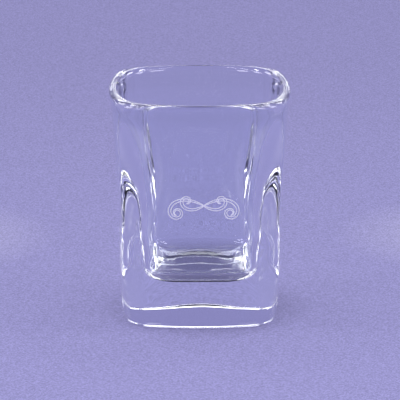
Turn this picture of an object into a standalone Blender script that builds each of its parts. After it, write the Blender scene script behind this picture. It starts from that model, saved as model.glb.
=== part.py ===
"""Square pressed shot glass, one solid piece of clear soda-lime glass.

Units are metres, +Z is up, and the origin is the middle of the underside.
Outside and cavity are rounded squares: four sides that are shallow arcs, and
four round corners.  The shape is given by stations, one row per height, and
runs smoothly between them.  Every height is one closed ring of points; the
rings are joined from the underside, up the outside, over the lip, down the
cavity wall and across the cavity floor.
"""

import math

import bmesh
import bpy

# --- main dimensions -----------------------------------------------------------
HEIGHT = 0.0650              # underside to the top of the lip
BASE_THICKNESS = 0.0112      # underside to the cavity floor
LIP_RISE = 0.0015            # the lip is half an ellipse this high
FOOT_ROUNDING = 0.0012       # height of the rounding round the underside
CAVITY_ROUNDING = 0.0055     # height of the rounding round the cavity floor

# --- outside: height, half width, corner radius, side radius -------------------
OUTSIDE = (
    (0.0000, 0.02180, 0.0076, 0.072),
    (0.0014, 0.02200, 0.0076, 0.072),
    (0.0050, 0.02235, 0.0076, 0.072),
    (0.0090, 0.02260, 0.0070, 0.100),
    (0.0150, 0.02272, 0.0055, 0.180),
    (0.0220, 0.02277, 0.0050, 0.250),
    (0.0310, 0.02285, 0.0050, 0.250),
    (0.0380, 0.02330, 0.0054, 0.220),
    (0.0520, 0.02445, 0.0078, 0.120),
    (0.0600, 0.02500, 0.0089, 0.085),
    (0.0617, 0.02518, 0.0092, 0.084),
    (0.0632, 0.02558, 0.0100, 0.082),
    (0.0650, 0.02562, 0.0102, 0.082),
)

# --- cavity: height, wall thickness, corner radius, side radius ----------------
WALL = (
    (0.0120, 0.00690, 0.0040, 0.150),
    (0.0160, 0.00650, 0.0045, 0.140),
    (0.0205, 0.00600, 0.0050, 0.120),
    (0.0255, 0.00520, 0.0058, 0.100),
    (0.0313, 0.00500, 0.0068, 0.075),
    (0.0365, 0.00430, 0.0079, 0.055),
    (0.0420, 0.00340, 0.0090, 0.044),
    (0.0500, 0.00250, 0.0105, 0.042),
    (0.0590, 0.00205, 0.0120, 0.042),
    (0.0620, 0.00235, 0.0123, 0.042),
    (0.0650, 0.00280, 0.0125, 0.042),
)

# --- flat faces: half width, corner radius, side radius ------------------------
UNDERSIDE = (0.0214, 0.0084, 0.068)
CAVITY_FLOOR = (0.0070, 0.0035, 0.050)

# --- how finely the rings are divided ------------------------------------------
SIDE_STEPS = 4               # segments along each side arc
CORNER_STEPS = 7             # segments round each corner
FOOT_RINGS = 3
OUTER_RINGS = 15
HALF_LIP_RINGS = 4
CAVITY_RINGS = 12
FLOOR_RINGS = 5


def blend(start, end, share):
    """The value that lies a given share of the way from start to end."""
    return start + (end - start) * share


def blend_all(start, end, share):
    """Blend two rows of values, one by one."""
    return [blend(first, second, share) for first, second in zip(start, end)]


def tangent(heights, values, index):
    """Slope of the smooth curve at one station, never overshooting."""
    slopes = []
    for at in range(len(heights) - 1):
        slopes.append((values[at + 1] - values[at]) / (heights[at + 1] - heights[at]))
    if index == 0:
        return slopes[0]
    if index == len(slopes):
        return slopes[-1]
    below, above = slopes[index - 1], slopes[index]
    if below * above <= 0.0:
        return 0.0
    before = heights[index] - heights[index - 1]
    after = heights[index + 1] - heights[index]
    first = 2.0 * after + before
    second = after + 2.0 * before
    return (first + second) / (first / below + second / above)


def along(stations, height):
    """Half width or thickness, corner radius and side radius at a height."""
    heights = [row[0] for row in stations]
    index = 0
    while index < len(heights) - 2 and height > heights[index + 1]:
        index += 1
    width = heights[index + 1] - heights[index]
    share = (height - heights[index]) / width
    square, cube = share ** 2, share ** 3
    found = []
    for column in range(1, 4):
        values = [row[column] for row in stations]
        low = tangent(heights, values, index)
        high = tangent(heights, values, index + 1)
        value = (2.0 * cube - 3.0 * square + 1.0) * values[index]
        value += (cube - 2.0 * square + share) * width * low
        value += (3.0 * square - 2.0 * cube) * values[index + 1]
        value += (cube - square) * width * high
        found.append(value)
    return found


def outside(height):
    """The outside's half width, corner radius and side radius at a height."""
    return along(OUTSIDE, height)


def cavity(height):
    """The cavity's half width, corner radius and side radius at a height."""
    wall, corner, side = along(WALL, height)
    return [outside(height)[0] - wall, corner, side]


def slope(section, height):
    """Widening of a section per unit of height, just below a height."""
    step = 0.0004
    return (section(height)[0] - section(height - step)[0]) / step


def turned(x, y, angle):
    """A point turned about the axis of the glass."""
    cosine = math.cos(angle)
    sine = math.sin(angle)
    return x * cosine - y * sine, x * sine + y * cosine


def ring(shape, level):
    """Points of a rounded square at a level, counter-clockwise.

    Each side is an arc of side_radius whose middle is half away from the axis,
    and each corner is an arc of radius corner that meets both sides smoothly.
    """
    half, corner, side_radius = shape
    reach = side_radius - half
    linear = 2.0 * reach
    constant = reach ** 2 - (side_radius - corner) ** 2
    centre = (-linear + math.sqrt(linear ** 2 - 8.0 * constant)) / 4.0
    spread = math.atan2(centre, centre + reach)
    points = []
    for quarter in range(4):
        turn = quarter * math.pi / 2.0
        for step in range(SIDE_STEPS):
            angle = blend(-spread, spread, step / SIDE_STEPS)
            x = -reach + side_radius * math.cos(angle)
            y = side_radius * math.sin(angle)
            points.append((*turned(x, y, turn), level))
        for step in range(CORNER_STEPS):
            angle = blend(spread, math.pi / 2.0 - spread, step / CORNER_STEPS)
            x = centre + corner * math.cos(angle)
            y = centre + corner * math.sin(angle)
            points.append((*turned(x, y, turn), level))
    return points


def foot_rings():
    """The rounded edge of the foot, from the underside up to the wall."""
    rings = []
    for step in range(FOOT_RINGS + 1):
        angle = math.pi / 2.0 * (1.0 - step / FOOT_RINGS)
        shape = blend_all(outside(FOOT_ROUNDING), UNDERSIDE, 1.0 - math.cos(angle))
        rings.append(ring(shape, FOOT_ROUNDING * (1.0 - math.sin(angle))))
    return rings


def lip_rings():
    """The half-elliptical lip, from the outside over to the cavity wall."""
    seam = HEIGHT - LIP_RISE
    first = -math.atan(slope(outside, seam))
    last = math.pi - math.atan(slope(cavity, seam))
    crest = math.pi / 2.0
    angles = [blend(first, crest, step / HALF_LIP_RINGS) for step in range(HALF_LIP_RINGS)]
    angles += [blend(crest, last, step / HALF_LIP_RINGS) for step in range(HALF_LIP_RINGS)]
    rings = []
    for angle in angles:
        shape = blend_all(outside(seam), cavity(seam), (1.0 - math.cos(angle)) / 2.0)
        rings.append(ring(shape, seam + LIP_RISE * math.sin(angle)))
    return rings


def wall_rings():
    """The outside wall between the foot rounding and the lip."""
    seam = HEIGHT - LIP_RISE
    top = seam - LIP_RISE * math.sin(math.atan(slope(outside, seam)))
    rings = []
    for step in range(1, OUTER_RINGS):
        height = blend(FOOT_ROUNDING, top, step / OUTER_RINGS)
        rings.append(ring(outside(height), height))
    return rings


def cavity_rings():
    """The cavity wall from the lip down, then the rounding to its floor."""
    seam = HEIGHT - LIP_RISE
    bottom = BASE_THICKNESS + CAVITY_ROUNDING
    rings = []
    for step in range(CAVITY_RINGS + 1):
        height = blend(seam, bottom, step / CAVITY_RINGS)
        rings.append(ring(cavity(height), height))
    for step in range(1, FLOOR_RINGS + 1):
        angle = math.pi / 2.0 * step / FLOOR_RINGS
        shape = blend_all(cavity(bottom), CAVITY_FLOOR, 1.0 - math.cos(angle))
        rings.append(ring(shape, bottom - CAVITY_ROUNDING * math.sin(angle)))
    return rings


def glass_mesh():
    """The closed skin of the glass, its faces pointing out of the material."""
    shape = bmesh.new()
    loops = []
    for points in foot_rings() + wall_rings() + lip_rings() + cavity_rings():
        loops.append([shape.verts.new(point) for point in points])
    count = len(loops[0])
    for lower, upper in zip(loops, loops[1:]):
        for index in range(count):
            following = (index + 1) % count
            shape.faces.new((lower[index], lower[following], upper[following], upper[index]))
    shape.faces.new(list(reversed(loops[0])))
    shape.faces.new(loops[-1])
    bmesh.ops.recalc_face_normals(shape, faces=shape.faces)
    mesh = bpy.data.meshes.new("glass_body")
    shape.to_mesh(mesh)
    shape.free()
    mesh.shade_smooth()
    mesh.set_sharp_from_angle(angle=math.radians(40.0))
    return mesh


def glass_material():
    """Clear colourless glass."""
    material = bpy.data.materials.new("clear_glass")
    material.use_nodes = True
    shader = material.node_tree.nodes["Principled BSDF"]
    shader.inputs["Base Color"].default_value = (0.94, 0.95, 0.97, 1.0)
    shader.inputs["Roughness"].default_value = 0.03
    shader.inputs["Metallic"].default_value = 0.0
    shader.inputs["Transmission Weight"].default_value = 1.0
    shader.inputs["IOR"].default_value = 1.52
    return material


def main():
    for item in list(bpy.data.objects):
        bpy.data.objects.remove(item, do_unlink=True)
    glass = bpy.data.objects.new("glass_body", glass_mesh())
    glass.data.materials.append(glass_material())
    bpy.context.scene.collection.objects.link(glass)


main()
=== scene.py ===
"""Looks of the square pressed shot glass, in the frame's metres, +Z up.

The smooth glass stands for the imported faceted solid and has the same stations.
An engraved flourish lies on its front face, and round it are a plain lavender
floor that curves up all round, soft light and the camera.
"""

import math

import bmesh
import bpy
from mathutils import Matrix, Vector


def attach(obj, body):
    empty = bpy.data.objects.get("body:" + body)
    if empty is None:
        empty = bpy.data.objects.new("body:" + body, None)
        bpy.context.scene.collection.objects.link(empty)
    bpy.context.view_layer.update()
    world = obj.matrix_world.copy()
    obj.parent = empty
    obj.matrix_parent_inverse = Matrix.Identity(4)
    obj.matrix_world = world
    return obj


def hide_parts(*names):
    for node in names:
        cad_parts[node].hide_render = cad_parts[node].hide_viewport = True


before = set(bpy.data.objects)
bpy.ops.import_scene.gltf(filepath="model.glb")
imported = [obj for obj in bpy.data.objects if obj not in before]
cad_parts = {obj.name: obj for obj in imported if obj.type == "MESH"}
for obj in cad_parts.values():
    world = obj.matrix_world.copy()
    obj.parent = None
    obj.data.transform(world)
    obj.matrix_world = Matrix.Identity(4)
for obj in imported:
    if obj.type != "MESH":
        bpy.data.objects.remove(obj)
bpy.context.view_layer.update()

# --- glass: main dimensions ------------------------------------------------------
HEIGHT = 0.0650
BASE_THICKNESS = 0.0112
LIP_RISE = 0.0015
FOOT_ROUNDING = 0.0012
CAVITY_ROUNDING = 0.0055

# outside: height, half width, corner radius, side radius
OUTSIDE = (
    (0.0000, 0.02180, 0.0076, 0.072),
    (0.0014, 0.02200, 0.0076, 0.072),
    (0.0050, 0.02235, 0.0076, 0.072),
    (0.0090, 0.02260, 0.0070, 0.100),
    (0.0150, 0.02272, 0.0055, 0.180),
    (0.0220, 0.02277, 0.0050, 0.250),
    (0.0310, 0.02285, 0.0050, 0.250),
    (0.0380, 0.02330, 0.0054, 0.220),
    (0.0520, 0.02445, 0.0078, 0.120),
    (0.0600, 0.02500, 0.0089, 0.085),
    (0.0617, 0.02518, 0.0092, 0.084),
    (0.0632, 0.02558, 0.0100, 0.082),
    (0.0650, 0.02562, 0.0102, 0.082),
)
# cavity: height, wall thickness, corner radius, side radius
WALL = (
    (0.0120, 0.00690, 0.0040, 0.150),
    (0.0160, 0.00650, 0.0045, 0.140),
    (0.0205, 0.00600, 0.0050, 0.120),
    (0.0255, 0.00520, 0.0058, 0.100),
    (0.0313, 0.00500, 0.0068, 0.075),
    (0.0365, 0.00430, 0.0079, 0.055),
    (0.0420, 0.00340, 0.0090, 0.044),
    (0.0500, 0.00250, 0.0105, 0.042),
    (0.0590, 0.00205, 0.0120, 0.042),
    (0.0620, 0.00235, 0.0123, 0.042),
    (0.0650, 0.00280, 0.0125, 0.042),
)
# flat faces: half width, corner radius, side radius
UNDERSIDE = (0.0214, 0.0084, 0.068)
CAVITY_FLOOR = (0.0070, 0.0035, 0.050)

# how finely the rings are divided
SIDE_STEPS = 24              # segments along each side arc
CORNER_STEPS = 18            # segments round each corner
FOOT_RINGS = 8
OUTER_RINGS = 60
HALF_LIP_RINGS = 12
CAVITY_RINGS = 60
FLOOR_RINGS = 16
FLAT_RINGS = 8               # rings across the underside and across the cavity floor

# --- engraved flourish on the front face -----------------------------------------
FLOURISH_X = 0.0008          # where its curls meet, across the face
FLOURISH_Z = 0.0360          # where they meet, above the underside
STROKE_WIDTH = 0.00029
STROKE_GAP = 0.00072         # between the two lines that make a stroke
STROKE_RISE = 0.00003        # how far a line stands proud of the face
STROKE_STEPS = 90
# section of a line: across in widths, out in rises
STROKE_SECTION = ((-0.5, -0.3), (-0.3, 0.7), (0.0, 1.0), (0.3, 0.7), (0.5, -0.3))

# --- materials ---------------------------------------------------------------------
GLASS_INDEX = 1.52           # refractive index of soda-lime glass
GLASS_COLOUR = (0.93, 0.95, 0.98, 1.0)
ENGRAVING_COLOURS = ((0.94, 0.94, 1.0, 1.0), (1.0, 1.0, 1.0, 1.0))

# --- floor -------------------------------------------------------------------------
FLOOR_LEVEL = -0.0003        # just under the glass
DISH_FLAT = 1.6              # radius of the flat floor
DISH_CURVE = 0.9             # radius of the curve from the floor into the wall
DISH_TOP = 1.45              # top of the wall
DISH_FLAT_STEPS = 6
DISH_CURVE_STEPS = 16
DISH_STEPS_AROUND = 96

# The cloth reflects little.  An even glow of its own stands for broad studio light.
CLOTH_COLOUR = (0.050, 0.048, 0.090, 1.0)
CLOTH_GLOW = (0.250, 0.237, 0.478, 1.0)
CLOTH_GRAIN = 0.32           # share by which the threads differ in brightness

# two soft pools of light behind the glass; the left one mirrors the right one
POOL_GLOW = (0.370, 0.355, 0.580, 1.0)
POOL_PLACE = (0.086, 0.078, 0.0)
POOL_FADE = (0.012, 0.045)   # distances between which a pool fades out

# shadow under the glass
SHADOW = 0.60                # share of the glow that is left in its middle
SHADOW_PLACE = (0.002, 0.0, 0.0)
SHADOW_FADE = (0.012, 0.031)  # distances between which it fades out

# --- light and camera ----------------------------------------------------------------
WORLD_COLOUR = (0.02, 0.02, 0.03, 1.0)
LIGHT_AIM = Vector((0.0, 0.0, 0.03))
LIGHT_BOUNCES = 24
GLOSSY_BOUNCES = 12
LENS_LENGTH = 444.8          # millimetres
SENSOR_WIDTH = 36.0          # millimetres
CAMERA_REACH = 20.0          # the furthest that the camera sees
CAMERA_DISTANCE = 1.4
CAMERA_ELEVATION = math.radians(15.0)
CAMERA_TURN = math.radians(-0.8)
CAMERA_AIM = Vector((0.0001, 0.0, 0.0315))

scene = bpy.context.scene


def blend(start, end, share):
    """The value that lies a given share of the way from start to end."""
    return start + (end - start) * share


def blend_all(start, end, share):
    """Blend two rows of values, one by one."""
    return [blend(first, second, share) for first, second in zip(start, end)]


# --- shape of the glass ------------------------------------------------------------
def tangent(heights, values, index):
    """Slope of the smooth curve at one station, never overshooting."""
    slopes = []
    for at in range(len(heights) - 1):
        slopes.append((values[at + 1] - values[at]) / (heights[at + 1] - heights[at]))
    if index == 0:
        return slopes[0]
    if index == len(slopes):
        return slopes[-1]
    below, above = slopes[index - 1], slopes[index]
    if below * above <= 0.0:
        return 0.0
    before = heights[index] - heights[index - 1]
    after = heights[index + 1] - heights[index]
    first = 2.0 * after + before
    second = after + 2.0 * before
    return (first + second) / (first / below + second / above)


def along(stations, height):
    """Half width or thickness, corner radius and side radius at a height."""
    heights = [row[0] for row in stations]
    index = 0
    while index < len(heights) - 2 and height > heights[index + 1]:
        index += 1
    width = heights[index + 1] - heights[index]
    share = (height - heights[index]) / width
    square, cube = share ** 2, share ** 3
    found = []
    for column in range(1, 4):
        values = [row[column] for row in stations]
        low = tangent(heights, values, index)
        high = tangent(heights, values, index + 1)
        value = (2.0 * cube - 3.0 * square + 1.0) * values[index]
        value += (cube - 2.0 * square + share) * width * low
        value += (3.0 * square - 2.0 * cube) * values[index + 1]
        value += (cube - square) * width * high
        found.append(value)
    return found


def outside(height):
    """The outside's half width, corner radius and side radius at a height."""
    return along(OUTSIDE, height)


def cavity(height):
    """The cavity's half width, corner radius and side radius at a height."""
    wall, corner, side = along(WALL, height)
    return [outside(height)[0] - wall, corner, side]


def slope(section, height):
    """Widening of a section per unit of height, just below a height."""
    step = 0.0004
    return (section(height)[0] - section(height - step)[0]) / step


def turned(x, y, angle):
    """A point turned about the axis of the glass."""
    cosine = math.cos(angle)
    sine = math.sin(angle)
    return x * cosine - y * sine, x * sine + y * cosine


def ring(shape, level):
    """Points of a rounded square at a level, counter-clockwise."""
    half, corner, side_radius = shape
    reach = side_radius - half
    linear = 2.0 * reach
    constant = reach ** 2 - (side_radius - corner) ** 2
    centre = (-linear + math.sqrt(linear ** 2 - 8.0 * constant)) / 4.0
    spread = math.atan2(centre, centre + reach)
    points = []
    for quarter in range(4):
        turn = quarter * math.pi / 2.0
        for step in range(SIDE_STEPS):
            angle = blend(-spread, spread, step / SIDE_STEPS)
            x = -reach + side_radius * math.cos(angle)
            y = side_radius * math.sin(angle)
            points.append((*turned(x, y, turn), level))
        for step in range(CORNER_STEPS):
            angle = blend(spread, math.pi / 2.0 - spread, step / CORNER_STEPS)
            x = centre + corner * math.cos(angle)
            y = centre + corner * math.sin(angle)
            points.append((*turned(x, y, turn), level))
    return points


def foot_rings():
    """The rounded edge of the foot, from the underside up to the wall."""
    rings = []
    for step in range(FOOT_RINGS + 1):
        angle = math.pi / 2.0 * (1.0 - step / FOOT_RINGS)
        shape = blend_all(outside(FOOT_ROUNDING), UNDERSIDE, 1.0 - math.cos(angle))
        rings.append(ring(shape, FOOT_ROUNDING * (1.0 - math.sin(angle))))
    return rings


def wall_rings():
    """The outside wall between the foot rounding and the lip."""
    seam = HEIGHT - LIP_RISE
    top = seam - LIP_RISE * math.sin(math.atan(slope(outside, seam)))
    rings = []
    for step in range(1, OUTER_RINGS):
        height = blend(FOOT_ROUNDING, top, step / OUTER_RINGS)
        rings.append(ring(outside(height), height))
    return rings


def lip_rings():
    """The half-elliptical lip, from the outside over to the cavity wall."""
    seam = HEIGHT - LIP_RISE
    first = -math.atan(slope(outside, seam))
    last = math.pi - math.atan(slope(cavity, seam))
    crest = math.pi / 2.0
    angles = [blend(first, crest, step / HALF_LIP_RINGS) for step in range(HALF_LIP_RINGS)]
    angles += [blend(crest, last, step / HALF_LIP_RINGS) for step in range(HALF_LIP_RINGS)]
    rings = []
    for angle in angles:
        shape = blend_all(outside(seam), cavity(seam), (1.0 - math.cos(angle)) / 2.0)
        rings.append(ring(shape, seam + LIP_RISE * math.sin(angle)))
    return rings


def cavity_rings():
    """The cavity wall from the lip down, then the rounding to its floor."""
    seam = HEIGHT - LIP_RISE
    bottom = BASE_THICKNESS + CAVITY_ROUNDING
    rings = []
    for step in range(CAVITY_RINGS + 1):
        height = blend(seam, bottom, step / CAVITY_RINGS)
        rings.append(ring(cavity(height), height))
    for step in range(1, FLOOR_RINGS + 1):
        angle = math.pi / 2.0 * step / FLOOR_RINGS
        shape = blend_all(cavity(bottom), CAVITY_FLOOR, 1.0 - math.cos(angle))
        rings.append(ring(shape, bottom - CAVITY_ROUNDING * math.sin(angle)))
    return rings


def shrunk(points, share):
    """A flat ring drawn in towards the axis."""
    return [(x * share, y * share, z) for x, y, z in points]


def smooth_mesh(shape, name):
    """The finished mesh of a shape, shaded smooth."""
    mesh = bpy.data.meshes.new(name)
    shape.to_mesh(mesh)
    shape.free()
    mesh.shade_smooth()
    return mesh


def glass_mesh():
    """The closed skin of the glass, with concentric rings on its flat faces."""
    rings = foot_rings() + wall_rings() + lip_rings() + cavity_rings()
    shares = [1.0 - step / FLAT_RINGS for step in range(1, FLAT_RINGS)]
    under = [shrunk(rings[0], share) for share in reversed(shares)]
    floor = [shrunk(rings[-1], share) for share in shares]
    shape = bmesh.new()
    loops = [[shape.verts.new(point) for point in points] for points in under + rings + floor]
    count = len(loops[0])
    for lower, upper in zip(loops, loops[1:]):
        for index in range(count):
            following = (index + 1) % count
            shape.faces.new((lower[index], lower[following], upper[following], upper[index]))
    for loop in (loops[0], loops[-1]):
        middle = shape.verts.new((0.0, 0.0, loop[0].co.z))
        for index in range(count):
            shape.faces.new((loop[index], loop[(index + 1) % count], middle))
    bmesh.ops.recalc_face_normals(shape, faces=shape.faces)
    return smooth_mesh(shape, "pressed_glass")


# --- shape of the engraved flourish ------------------------------------------------
def scroll(length, heading, bend, tighten):
    """A curl that bends more and more sharply, as (across, up) points.

    It sets off in the direction heading.  Its bend is in radians per metre, and
    tighten is what has been added to the bend by the end.
    """
    step = length / STROKE_STEPS
    across, up, angle = 0.0, 0.0, heading
    points = [(across, up)]
    for index in range(STROKE_STEPS):
        share = (index + 0.5) / STROKE_STEPS
        angle += (bend + tighten * share ** 2) * step
        across += math.cos(angle) * step
        up += math.sin(angle) * step
        points.append((across, up))
    return points


def direction(points, index):
    """Which way a line runs at one of its points."""
    before = points[max(index - 1, 0)]
    after = points[min(index + 1, len(points) - 1)]
    return Vector((after[0] - before[0], after[1] - before[1])).normalized()


def beside(points, distance):
    """A line beside a line, drawing in to it at both ends."""
    found = []
    last = len(points) - 1
    for index, (across, up) in enumerate(points):
        run = direction(points, index)
        swell = math.sin(math.pi * index / last) ** 0.5 if 0 < index < last else 0.0
        offset = distance * swell
        found.append((across - run.y * offset, up + run.x * offset))
    return found


def front_face(x, z):
    """The Y of the outside of the glass, on the side towards the camera."""
    half, _, side_radius = outside(z)
    return -(math.sqrt(side_radius ** 2 - x ** 2) - (side_radius - half))


def add_stroke(shape, points):
    """One engraved line: a low rounded ridge that follows the front face."""
    rows = []
    for index, (across, up) in enumerate(points):
        run = direction(points, index)
        row = []
        for side, rise in STROKE_SECTION:
            x = FLOURISH_X + across - run.y * side * STROKE_WIDTH
            z = FLOURISH_Z + up + run.x * side * STROKE_WIDTH
            row.append(shape.verts.new((x, front_face(x, z) - rise * STROKE_RISE, z)))
        rows.append(row)
    for lower, upper in zip(rows, rows[1:]):
        for index in range(len(STROKE_SECTION) - 1):
            shape.faces.new((lower[index], lower[index + 1], upper[index + 1], upper[index]))


def flourish_mesh():
    """Two pairs of curls that mirror each other about the middle of the face."""
    curls = (
        scroll(length=0.0215, heading=math.radians(32.0), bend=-70.0, tighten=-1150.0),
        scroll(length=0.0125, heading=math.radians(-35.0), bend=130.0, tighten=1300.0),
    )
    shape = bmesh.new()
    for curl in curls:
        for mirror in (1.0, -1.0):
            line = [(across * mirror, up) for across, up in curl]
            for side in (-0.5, 0.5):
                add_stroke(shape, beside(line, side * STROKE_GAP))
    bmesh.ops.recalc_face_normals(shape, faces=shape.faces)
    return smooth_mesh(shape, "engraved_flourish")


# --- nodes that the materials share --------------------------------------------------
def new_material(name):
    """A node material, with its node tree and its shader to hand."""
    material = bpy.data.materials.new(name)
    material.use_nodes = True
    tree = material.node_tree
    return material, tree, tree.nodes["Principled BSDF"]


def noise(tree, scale, detail):
    """Noise of a given fineness, fixed to the object."""
    place = tree.nodes.new("ShaderNodeTexCoord")
    texture = tree.nodes.new("ShaderNodeTexNoise")
    texture.inputs["Scale"].default_value = scale
    texture.inputs["Detail"].default_value = detail
    tree.links.new(place.outputs["Object"], texture.inputs["Vector"])
    return texture.outputs["Fac"]


def ranged(tree, value, source, target):
    """A value moved from one range to another, and held at its ends."""
    node = tree.nodes.new("ShaderNodeMapRange")
    node.inputs["From Min"].default_value = source[0]
    node.inputs["From Max"].default_value = source[1]
    node.inputs["To Min"].default_value = target[0]
    node.inputs["To Max"].default_value = target[1]
    tree.links.new(value, node.inputs["Value"])
    return node.outputs["Result"]


def times(tree, first, second):
    """Two values multiplied."""
    node = tree.nodes.new("ShaderNodeMath")
    node.operation = "MULTIPLY"
    tree.links.new(first, node.inputs[0])
    tree.links.new(second, node.inputs[1])
    return node.outputs["Value"]


def mixed(tree, share, first, second):
    """A colour that lies a given share of the way from first to second."""
    node = tree.nodes.new("ShaderNodeMix")
    node.data_type = "RGBA"
    node.inputs["A"].default_value = first
    node.inputs["B"].default_value = second
    tree.links.new(share, node.inputs["Factor"])
    return node.outputs["Result"]


def distance_from(tree, place, middle):
    """How far a place is from a fixed point."""
    node = tree.nodes.new("ShaderNodeVectorMath")
    node.operation = "DISTANCE"
    node.inputs[1].default_value = middle
    tree.links.new(place, node.inputs[0])
    return node.outputs["Value"]


def bumped(tree, shader, height, strength, distance):
    """Give a shader a bump from a height value."""
    bump = tree.nodes.new("ShaderNodeBump")
    bump.inputs["Strength"].default_value = strength
    bump.inputs["Distance"].default_value = distance
    tree.links.new(height, bump.inputs["Height"])
    tree.links.new(bump.outputs["Normal"], shader.inputs["Normal"])


# --- the glass -----------------------------------------------------------------------
def glass_material():
    """Clear glass with the faint waves and haze that pressing leaves."""
    material, tree, shader = new_material("clear_pressed_glass")
    shader.inputs["Base Color"].default_value = GLASS_COLOUR
    shader.inputs["Transmission Weight"].default_value = 1.0
    shader.inputs["IOR"].default_value = GLASS_INDEX
    haze = noise(tree, scale=260.0, detail=3.0)
    tree.links.new(ranged(tree, haze, (0.45, 0.80), (0.0, 0.006)), shader.inputs["Roughness"])
    waves = noise(tree, scale=190.0, detail=1.0)
    bumped(tree, shader, waves, strength=0.15, distance=0.0001)
    return material


def engraving_material():
    """Ground, frosted glass of an engraved line."""
    material, tree, shader = new_material("frosted_engraving")
    shader.inputs["IOR"].default_value = GLASS_INDEX
    grain = noise(tree, scale=9000.0, detail=2.0)
    tree.links.new(mixed(tree, grain, *ENGRAVING_COLOURS), shader.inputs["Base Color"])
    tree.links.new(ranged(tree, grain, (0.3, 0.7), (0.45, 0.75)), shader.inputs["Roughness"])
    bumped(tree, shader, grain, strength=0.4, distance=0.00002)
    return material


def add_piece(name, mesh, material):
    """Put a piece in the scene, on the body, with its own material."""
    piece = bpy.data.objects.new(name, mesh)
    piece.data.materials.append(material)
    scene.collection.objects.link(piece)
    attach(piece, "root")
    return piece


glass = add_piece("pressed_glass", glass_mesh(), glass_material())
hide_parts("glass_body")
add_piece("engraved_flourish", flourish_mesh(), engraving_material())


# --- the floor -------------------------------------------------------------------------
def dish_profile():
    """The floor from near its middle out to the top of its wall, as (out, level) points."""
    profile = []
    for step in range(1, DISH_FLAT_STEPS + 1):
        profile.append((DISH_FLAT * step / DISH_FLAT_STEPS, FLOOR_LEVEL))
    for step in range(1, DISH_CURVE_STEPS + 1):
        angle = math.pi / 2.0 * step / DISH_CURVE_STEPS
        out = DISH_FLAT + DISH_CURVE * math.sin(angle)
        profile.append((out, FLOOR_LEVEL + DISH_CURVE * (1.0 - math.cos(angle))))
    profile.append((DISH_FLAT + DISH_CURVE, DISH_TOP))
    return profile


def dish_mesh():
    """A flat floor that curves up into a low wall all round."""
    around = DISH_STEPS_AROUND
    shape = bmesh.new()
    middle = shape.verts.new((0.0, 0.0, FLOOR_LEVEL))
    loops = []
    for out, level in dish_profile():
        points = [turned(out, 0.0, math.tau * step / around) for step in range(around)]
        loops.append([shape.verts.new((x, y, level)) for x, y in points])
    for index in range(around):
        shape.faces.new((middle, loops[0][index], loops[0][(index + 1) % around]))
    for lower, upper in zip(loops, loops[1:]):
        for index in range(around):
            following = (index + 1) % around
            shape.faces.new((lower[index], upper[index], upper[following], lower[following]))
    return smooth_mesh(shape, "dish")


def pool_share(tree, split):
    """One in the middle of each soft pool of light behind the glass, zero away from both."""
    sideways = tree.nodes.new("ShaderNodeMath")
    sideways.operation = "ABSOLUTE"
    tree.links.new(split.outputs["X"], sideways.inputs[0])
    place = tree.nodes.new("ShaderNodeCombineXYZ")
    tree.links.new(sideways.outputs["Value"], place.inputs["X"])
    tree.links.new(split.outputs["Y"], place.inputs["Y"])
    away = distance_from(tree, place.outputs["Vector"], POOL_PLACE)
    return ranged(tree, away, POOL_FADE, (1.0, 0.0))


def contact_shadow(tree, place):
    """Less glow under the glass, back to the full glow just outside its foot."""
    away = distance_from(tree, place, SHADOW_PLACE)
    return ranged(tree, away, SHADOW_FADE, (SHADOW, 1.0))


def dish_material():
    """Finely woven lavender cloth with painted light: it glows evenly, a little less so
    further back and more so up the wall.
    """
    material, tree, shader = new_material("lavender_cloth")
    shader.inputs["Base Color"].default_value = CLOTH_COLOUR
    shader.inputs["Roughness"].default_value = 0.9
    shader.inputs["Specular IOR Level"].default_value = 0.1
    place = tree.nodes.new("ShaderNodeNewGeometry").outputs["Position"]
    split = tree.nodes.new("ShaderNodeSeparateXYZ")
    tree.links.new(place, split.inputs[0])
    glow = mixed(tree, pool_share(tree, split), CLOTH_GLOW, POOL_GLOW)
    tree.links.new(glow, shader.inputs["Emission Color"])
    threads = noise(tree, scale=2100.0, detail=2.0)
    # painted light: the glow fades further back and is lifted up the wall, as the studio
    # light falls
    painted_fade_back = ranged(tree, split.outputs["Y"], (-0.07, 0.30), (0.99, 0.77))
    painted_lift_up_wall = ranged(tree, split.outputs["Z"], (0.0, 0.7), (1.0, 1.3))
    grain = ranged(tree, threads, (0.3, 0.7), (1.0 - CLOTH_GRAIN, 1.0 + CLOTH_GRAIN))
    strength = times(tree, times(tree, painted_fade_back, painted_lift_up_wall), grain)
    strength = times(tree, strength, contact_shadow(tree, place))
    tree.links.new(strength, shader.inputs["Emission Strength"])
    bumped(tree, shader, threads, strength=0.3, distance=0.0002)
    return material


dish = bpy.data.objects.new("dish", dish_mesh())
dish.data.materials.append(dish_material())
scene.collection.objects.link(dish)


# --- light -------------------------------------------------------------------------------
def add_world():
    """Almost black surroundings, so that only the floor and the softboxes show."""
    world = bpy.data.worlds.new("studio")
    scene.world = world
    world.use_nodes = True
    background = world.node_tree.nodes["Background"]
    background.inputs["Color"].default_value = WORLD_COLOUR
    background.inputs["Strength"].default_value = 1.0


def softbox(name, place, width, height, power):
    """A rectangular soft light that faces the glass."""
    light = bpy.data.lights.new(name, "AREA")
    light.shape = "RECTANGLE"
    light.size = width
    light.size_y = height
    light.energy = power
    lamp = bpy.data.objects.new(name, light)
    lamp.location = place
    aim = LIGHT_AIM - Vector(place)
    lamp.rotation_euler = aim.to_track_quat("-Z", "Y").to_euler()
    scene.collection.objects.link(lamp)


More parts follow.
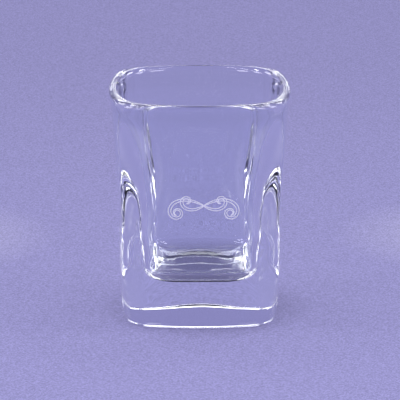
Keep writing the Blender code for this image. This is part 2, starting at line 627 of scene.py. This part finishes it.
def softbox_pair(name, place, width, height, power):
    """A softbox on the left and another that mirrors it on the right."""
    across, back, up = place
    softbox(name.format("left"), (-across, back, up), width, height, power)
    softbox(name.format("right"), (across, back, up), width, height, power)


add_world()
softbox_pair("overhead_back_{}_strip", (0.5, 0.5, 1.2), 0.45, 0.15, 3.0)
softbox_pair("overhead_{}_strip", (0.6, 0.0, 1.2), 0.15, 0.9, 4.5)
softbox_pair("front_{}_light", (0.8, -1.0, 0.9), 0.4, 0.5, 6.0)
softbox("back_strip", (0.0, 2.0, 1.05), 1.4, 0.35, 5.0)
softbox_pair("back_{}_light", (0.9, 0.95, 1.0), 0.45, 0.45, 4.5)
softbox("low_back_strip", (0.0, 2.0, 0.33), 1.3, 0.07, 1.0)
softbox_pair("low_{}_strip", (1.4, 1.4, 0.33), 1.3, 0.07, 1.0)
softbox_pair("{}_light", (1.1, -0.15, 0.75), 0.45, 0.6, 7.0)


# --- camera and colour ---------------------------------------------------------------------
def add_camera():
    """A long lens, far off, that looks a little down on the front of the glass."""
    lens = bpy.data.cameras.new("camera")
    lens.lens = LENS_LENGTH
    lens.sensor_width = SENSOR_WIDTH
    lens.clip_end = CAMERA_REACH
    camera = bpy.data.objects.new("camera", lens)
    level = math.cos(CAMERA_ELEVATION)
    away = Vector((
        level * math.sin(CAMERA_TURN),
        -level * math.cos(CAMERA_TURN),
        math.sin(CAMERA_ELEVATION),
    ))
    camera.location = CAMERA_AIM + away * CAMERA_DISTANCE
    camera.rotation_euler = (-away).to_track_quat("-Z", "Y").to_euler()
    scene.collection.objects.link(camera)
    scene.camera = camera


def set_light_paths():
    """Enough bounces for thick glass, and no caustics, which would be noisy."""
    scene.cycles.max_bounces = LIGHT_BOUNCES
    scene.cycles.transmission_bounces = LIGHT_BOUNCES
    scene.cycles.glossy_bounces = GLOSSY_BOUNCES
    scene.cycles.caustics_reflective = False
    scene.cycles.caustics_refractive = False


add_camera()
set_light_paths()
scene.view_settings.view_transform = "Standard"
